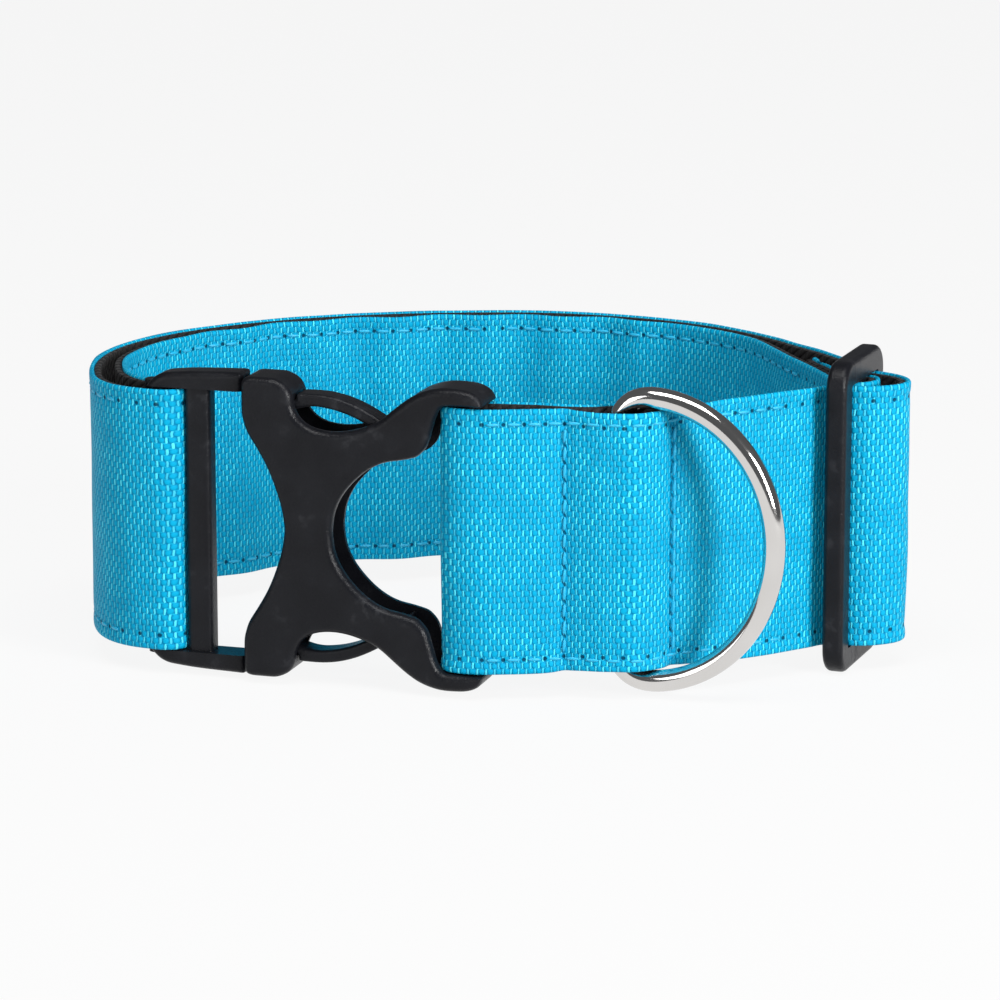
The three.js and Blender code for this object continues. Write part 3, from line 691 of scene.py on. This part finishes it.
def moulded(name, outline, half, radius, spot, degrees, rounds=5, passes=5, step=0.5):
    """A plate with rounded edges, from an outline of (length along, height), set in its place."""
    ring = evened(outline, step, passes)
    area = 0.5 * np.sum(ring[:, 0] * np.roll(ring[:, 1], -1) - np.roll(ring[:, 0], -1) * ring[:, 1])
    if area < 0:
        ring = ring[::-1]
    ahead = np.roll(ring, -1, 0) - np.roll(ring, 1, 0)
    ahead /= np.linalg.norm(ahead, axis=1)[:, None]
    inward = np.stack([-ahead[:, 1], ahead[:, 0]], axis=1)
    # where the outline is narrow or turns tightly, the rounding is only as deep as the room that it leaves
    apart = ring[None, :, :] - ring[:, None, :]
    facing = np.einsum("ijk,ik->ij", apart, inward)
    room = np.where(facing > 1e-6, (apart**2).sum(axis=2) / (2 * np.maximum(facing, 1e-6)), 99.0).min(axis=1)
    deep = np.minimum(radius, 0.8 * room)
    for _ in range(6):
        deep = np.minimum(deep, 0.5 * deep + 0.25 * (np.roll(deep, 1) + np.roll(deep, -1)))
    made = bmesh.new()
    rings = []
    angles = np.linspace(0, math.pi / 2, rounds + 1)
    levels = [(1 - math.cos(a), half - radius + radius * math.sin(a)) for a in angles]
    for inset, depth in [(i, -d) for i, d in reversed(levels)] + levels:
        flat = ring + inward * (deep * inset)[:, None]
        verts = []
        for x, z in flat:
            px, py = turned(x, depth, degrees, spot)
            verts.append(made.verts.new(place(px, py, z)))
        rings.append(verts)
    count = len(ring)
    for low, high in zip(rings, rings[1:]):
        for i in range(count):
            made.faces.new((low[i], low[(i + 1) % count], high[(i + 1) % count], high[i]))
    caps = [made.faces.new(rings[0]), made.faces.new(rings[-1])]
    bmesh.ops.recalc_face_normals(made, faces=made.faces)
    bmesh.ops.triangulate(made, faces=caps, ngon_method="EAR_CLIP")
    mesh = bpy.data.meshes.new(name)
    made.to_mesh(mesh)
    made.free()
    piece = bpy.data.objects.new(name, mesh)
    bpy.context.scene.collection.objects.link(piece)
    return piece


def tool_block(x0, x1, y0, y1, z0, z1, spot, degrees):
    """A square cutter or filler in a moulding."""
    made = bmesh.new()
    corners = [(x, y, z) for x in (x0, x1) for y in (y0, y1) for z in (z0, z1)]
    corners = [made.verts.new(place(*turned(x, y, degrees, spot), z)) for x, y, z in corners]
    for face in ((0, 1, 3, 2), (4, 6, 7, 5), (0, 4, 5, 1), (2, 3, 7, 6), (0, 2, 6, 4), (1, 5, 7, 3)):
        made.faces.new([corners[i] for i in face])
    bmesh.ops.recalc_face_normals(made, faces=made.faces)
    mesh = bpy.data.meshes.new("tool")
    made.to_mesh(mesh)
    made.free()
    tool = bpy.data.objects.new("tool", mesh)
    bpy.context.scene.collection.objects.link(tool)
    return tool


def bar(at, width, thickness, high, spot, degrees, squareness=2.6):
    """A strap bar with round edges."""
    made = bmesh.new()
    rings = []
    for z in (-high, high):
        ring = []
        for i in range(32):
            a = 2 * math.pi * i / 32
            c, s = math.cos(a), math.sin(a)
            x = at + math.copysign(abs(c) ** (2 / squareness), c) * width / 2
            y = math.copysign(abs(s) ** (2 / squareness), s) * thickness / 2
            ring.append(made.verts.new(place(*turned(x, y, degrees, spot), z)))
        rings.append(ring)
    for i in range(32):
        made.faces.new((rings[0][i], rings[0][(i + 1) % 32], rings[1][(i + 1) % 32], rings[1][i]))
    made.faces.new(rings[0])
    made.faces.new(rings[1])
    bmesh.ops.recalc_face_normals(made, faces=made.faces)
    mesh = bpy.data.meshes.new("tool")
    made.to_mesh(mesh)
    made.free()
    tool = bpy.data.objects.new("tool", mesh)
    bpy.context.scene.collection.objects.link(tool)
    return tool


def worked(piece, cuts=(), joins=()):
    """Cuts the first tools out of a moulding and joins the others to it, and leaves a plain mesh."""
    for tools, operation in ((cuts, "DIFFERENCE"), (joins, "UNION")):
        for tool in tools:
            modifier = piece.modifiers.new("work", "BOOLEAN")
            modifier.operation, modifier.object, modifier.solver = operation, tool, "MANIFOLD"
    mesh = bpy.data.meshes.new_from_object(piece.evaluated_get(bpy.context.evaluated_depsgraph_get()))
    piece.modifiers.clear()
    mesh.materials.clear()
    mesh.polygons.foreach_set("material_index", [0] * len(mesh.polygons))
    piece.data = mesh
    for tool in (*cuts, *joins):
        bpy.data.objects.remove(tool)
    mesh.shade_smooth()
    mesh.set_sharp_from_angle(angle=math.radians(32))
    modifier = piece.modifiers.new("flat faces", "WEIGHTED_NORMAL")
    modifier.keep_sharp = True
    modifier.weight = 90
    piece.data = bpy.data.meshes.new_from_object(piece.evaluated_get(bpy.context.evaluated_depsgraph_get()))
    piece.modifiers.clear()
    return piece


plastic, tree, shader = new_finish("black moulded plastic", 0.42)
coordinates = tree.nodes.new("ShaderNodeTexCoord")
grain, cloudy, scuff = (tree.nodes.new("ShaderNodeTexNoise") for _ in range(3))
for texture, scale, detail in ((grain, 2600.0, 3.0), (cloudy, 140.0, 3.0), (scuff, 420.0, 5.0)):
    texture.inputs["Scale"].default_value = scale
    texture.inputs["Detail"].default_value = detail
    tree.links.new(coordinates.outputs["Object"], texture.inputs["Vector"])
spots = soften(tree, cloudy.outputs["Fac"], 0.52, 0.68)
worn = calc(tree, "MULTIPLY", spots, soften(tree, scuff.outputs["Fac"], 0.5, 0.64))
cloud = soften(tree, cloudy.outputs["Fac"], 0.3, 0.7)
tone = mixed(tree, cloud, (0.0045, 0.0048, 0.0065), (0.007, 0.0075, 0.0098))
tone = mixed(tree, calc(tree, "MULTIPLY", worn, 0.4), tone, (0.03, 0.031, 0.035))
tree.links.new(tone, shader.inputs["Base Color"])
shader.inputs["Specular IOR Level"].default_value = 0.17
rough = calc(tree, "MULTIPLY", calc(tree, "ADD", grain.outputs["Fac"], worn), 0.12)
tree.links.new(calc(tree, "ADD", 0.26, rough), shader.inputs["Roughness"])
raised(tree, shader, calc(tree, "ADD", grain.outputs["Fac"], calc(tree, "MULTIPLY", worn, 0.4)), 0.0001)

upper = curved((-40.6, 0), (-41.4, 4.6), (-43.7, 11), (-45.9, 15), (-48, 18.4), (-48.9, 21.4))
upper += curved((-48.9, 27.2), (-48.6, 28.2), (-47.6, 28.6))
upper += curved((-42.4, 28.6), (-39.9, 27.3), (-38.8, 25.3))
upper += curved(
    (-38.9, 23.6), (-37.8, 21.5), (-35.8, 19.9), (-32.4, 19.1), (-28.6, 19.3), (-25, 20.3), (-22.4, 21.5),
    (-19.4, 23.9), (-17, 25.8), (-14.4, 27.4), (-10.8, 28.5), (-7.6, 28.6), (-4.8, 28.3), (-2.8, 27.3),
    (-1.8, 25.3),
)
upper += curved((-10, 25.3), (-11.2, 23.2), (-12, 20.4), (-13, 17.2))
upper += curved(
    (-14.8, 15.3), (-17.6, 14.6), (-21.4, 13.8), (-24.6, 12.1), (-27.4, 9.6), (-29.6, 6.8), (-31, 3.6),
    (-31.5, 0),
)
female = moulded("female_buckle_moulding", mirrored(upper), BUCKLE_HALF, 1.4, *here, passes=3)
wall = BUCKLE_TOP - HOUSING_WALL
between = BUCKLE_HALF - PLATE
worked(
    female,
    cuts=[
        tool_block(-60, -39, -between, between, -wall, wall, *here),
        tool_block(-39.01, -15.4, -between, between, -40, 40, *here),
        tool_block(-15.5, 9, -between, between, -OPEN_HALF, OPEN_HALF, *here),
    ],
    joins=[
        tool_block(-38, -33.5, -between - 0.2, between + 0.2, -8, 8, *here),
        bar(-6.8, 3.6, 3.2, OPEN_HALF + 1, *here),
    ],
)
female.data.materials.append(plastic)
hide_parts("female_buckle")
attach(female, "collar")


# The male half: a black acetal frame that the strap loops round, with a crossbar, and two sprung arms whose
# bowed backs show past the female half's waist and are pressed in to open the buckle.
male_upper = curved((-69.5, 21.1), (-68.7, 24.9), (-66.7, 27.2))
male_upper += curved((-64.9, 28), (-59.6, 28.5), (-49.2, 28.9))
male = moulded("male_frame_moulding", mirrored(male_upper), 3.0, 1.3, *here, passes=3)
window_corners = [(-74.5, OPEN_HALF), (-74.5, -OPEN_HALF), (-44.2, -OPEN_HALF), (-44.2, OPEN_HALF)]
male_window = moulded("window", window_corners, 9, 0.5, *here, passes=9)
worked(
    male,
    cuts=[male_window],
    joins=[
        bar(-66.55, 5.5, 3.4, OPEN_HALF + 1, *here),
        bar(-58.5, 5.0, 4.4, OPEN_HALF + 1, *here, squareness=4),
    ],
)
male.data.materials.append(plastic)
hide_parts("male_frame")
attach(male, "male_half")

arm_outline = [(-48.9, 20.9), (-48.9, 24.3), (-38.7, 24.3)]
arm_outline += curved(
    (-38.7, 25.6), (-34, 25.6), (-30.6, 25.1), (-27.4, 24.1), (-24.4, 22.7), (-20.8, 20.6), (-17, 18),
    spans=5,
)
arm_outline += curved(
    (-17, 15.2), (-21.4, 18), (-25.4, 20.6), (-28.6, 22), (-32, 22.9), (-36, 23.2), (-41, 21.9),
    spans=5,
)
for side, body in ((1, "upper_arm"), (-1, "lower_arm")):
    outline = [(x, side * z) for x, z in arm_outline]
    arm = moulded(f"sprung_{body}", outline, 2.6, 0.7, *here, rounds=3, passes=2, step=0.4)
    worked(arm)
    arm.data.materials.append(plastic)
    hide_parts("prong_upper" if side > 0 else "prong_lower")
    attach(arm, body)


# The D-ring: 4.1 mm steel wire bent to a D and nickel plated, with its straight side in the strap's pocket.
WIRE, RING_HALF, RING_REACH, RING_CORNER = 4.1, 26.8, 30.1, 6.0
bow = RING_REACH - RING_CORNER


def on_arc(x, z, half_width, half_height, degrees):
    """A point of an ellipse about (x, z)."""
    a = math.radians(degrees)
    return (x + half_width * math.cos(a), z + half_height * math.sin(a))


quarter = [(0, 0), (0, RING_HALF * 0.4), (0, RING_HALF - RING_CORNER)]
quarter += [on_arc(RING_CORNER, RING_HALF - RING_CORNER, -RING_CORNER, RING_CORNER, a) for a in (30, 60)]
quarter += [on_arc(RING_CORNER, 0, bow, RING_HALF, a) for a in range(90, -1, -15)]
whole = [*quarter, *[(x, -z) for x, z in reversed(quarter[:-1])]]
wire_line = evened(curve_through(whole, 8), step=0.9, passes=6)
made = bmesh.new()
count, sides = len(wire_line), 24
ahead = np.roll(wire_line, -1, 0) - np.roll(wire_line, 1, 0)
ahead /= np.linalg.norm(ahead, axis=1)[:, None]
rings = []
for (x, z), (dx, dz) in zip(wire_line, ahead):
    ring = []
    for k in range(sides):
        a = 2 * math.pi * k / sides
        out, off = math.cos(a) * WIRE / 2, math.sin(a) * WIRE / 2
        ring.append(made.verts.new(place(*turned(x + dz * out, off, RING_TURN, RING_AT), z - dx * out)))
    rings.append(ring)
for i in range(count):
    ring, following = rings[i], rings[(i + 1) % count]
    for k in range(sides):
        beside = (k + 1) % sides
        made.faces.new((ring[k], ring[beside], following[beside], following[k]))
bmesh.ops.recalc_face_normals(made, faces=made.faces)
mesh = bpy.data.meshes.new("leash_ring_wire")
made.to_mesh(mesh)
made.free()
mesh.shade_smooth()
leash_ring = bpy.data.objects.new("leash_ring_wire", mesh)
bpy.context.scene.collection.objects.link(leash_ring)

nickel, tree, shader = new_finish("polished nickel", 0.09)
coordinates = tree.nodes.new("ShaderNodeTexCoord")
fine, patch = tree.nodes.new("ShaderNodeTexNoise"), tree.nodes.new("ShaderNodeTexNoise")
fine.inputs["Scale"].default_value, fine.inputs["Detail"].default_value = 1800.0, 4.0
patch.inputs["Scale"].default_value = 90.0
tree.links.new(coordinates.outputs["Object"], fine.inputs["Vector"])
tree.links.new(coordinates.outputs["Object"], patch.inputs["Vector"])
tone = mixed(tree, patch.outputs["Fac"], (0.62, 0.6, 0.58), (0.74, 0.725, 0.71))
tree.links.new(tone, shader.inputs["Base Color"])
shader.inputs["Metallic"].default_value = 1.0
rough = calc(tree, "ADD", 0.06, calc(tree, "MULTIPLY", fine.outputs["Fac"], 0.06))
tree.links.new(rough, shader.inputs["Roughness"])
raised(tree, shader, fine.outputs["Fac"], 0.000004, 0.5)
leash_ring.data.materials.append(nickel)
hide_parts("d_ring")
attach(leash_ring, "ring")


# The slider: a black acetal tri-glide with two slots round a middle bar. The strap passes through both slots,
# and its other end is sewn round the middle bar.
# Half of its width is one bar and a half, and one slot.
SLIDER_TOP, SLIDER_CORNER, GLIDE_BAR, GLIDE_SLOT = 29.9, 5.0, 4.5, 6.75
slider_side = 1.5 * GLIDE_BAR + GLIDE_SLOT
corner = [
    on_arc(slider_side - SLIDER_CORNER, SLIDER_TOP - SLIDER_CORNER, SLIDER_CORNER, SLIDER_CORNER, a)
    for a in range(0, 91, 10)
]
frame_outline = [*corner, *[(-x, z) for x, z in reversed(corner)]]
frame_outline += [*[(-x, -z) for x, z in corner], *[(x, -z) for x, z in reversed(corner)]]
there = (SLIDER_AT, SLIDER_TURN)
glide = moulded("slider_moulding", frame_outline, 2.0, 1.1, *there, passes=1)
slot_edge = slider_side - GLIDE_BAR
window_corners = [(slot_edge, OPEN_HALF), (-slot_edge, OPEN_HALF)]
window_corners += [(-slot_edge, -OPEN_HALF), (slot_edge, -OPEN_HALF)]
glide_window = moulded("window", window_corners, 9, 0.5, *there, passes=4, step=0.3)
worked(glide, cuts=[glide_window], joins=[bar(0, GLIDE_BAR, 4, OPEN_HALF + 1, *there)])
glide.data.materials.append(plastic)
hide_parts("tri_glide")
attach(glide, "slider")


# The floor, the lights and the camera: a plain pale sweep under large soft lights.
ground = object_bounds()[0].z
floor_mesh = bpy.data.meshes.new("floor")
floor_corners = [(-6, -3, ground), (6, -3, ground), (6, 9, ground), (-6, 9, ground)]
floor_mesh.from_pydata(floor_corners, [], [(0, 1, 2, 3)])
floor = bpy.data.objects.new("floor", floor_mesh)
bpy.context.scene.collection.objects.link(floor)
pale, tree, shader = new_finish("pale floor", 0.9)
shader.inputs["Base Color"].default_value = (0.05, 0.05, 0.05, 1)
shader.inputs["Specular IOR Level"].default_value = 0.0
shader.inputs["Emission Color"].default_value = (1, 1, 1, 1)
shader.inputs["Emission Strength"].default_value = 0.9
floor.data.materials.append(pale)


def soft_light(name, spot, aim_at, width, height, power):
    """A rectangular lamp, aimed at a point."""
    lamp = bpy.data.lights.new(name, "AREA")
    lamp.shape, lamp.size, lamp.size_y, lamp.energy = "RECTANGLE", width, height, power
    light = bpy.data.objects.new(name, lamp)
    light.location = spot
    light.rotation_euler = (Vector(aim_at) - Vector(spot)).to_track_quat("-Z", "Y").to_euler()
    bpy.context.scene.collection.objects.link(light)


soft_light("overhead", (0.0, -0.35, 0.9), (0, 0, 0), 0.7, 0.4, 7.3)
soft_light("left", (-0.7, -0.6, 0.3), (0, 0, 0.03), 0.4, 0.5, 1.7)
soft_light("right", (0.6, -0.6, 0.3), (0, -0.03, 0.03), 0.25, 0.35, 9.3)
world = bpy.data.worlds.new("studio")
world.use_nodes = True
world.node_tree.nodes["Background"].inputs["Color"].default_value = (0.93, 0.96, 1.0, 1)
world.node_tree.nodes["Background"].inputs["Strength"].default_value = 0.12
bpy.context.scene.world = world
bpy.context.scene.view_settings.view_transform = "Standard"

camera = bpy.data.objects.new("camera", bpy.data.cameras.new("camera"))
camera.location = (0.000564, -0.87989, 0.23053)
camera.rotation_euler = (math.radians(77), 0, 0)
camera.data.lens, camera.data.sensor_width = 168.25, 36
bpy.context.scene.collection.objects.link(camera)
bpy.context.scene.camera = camera
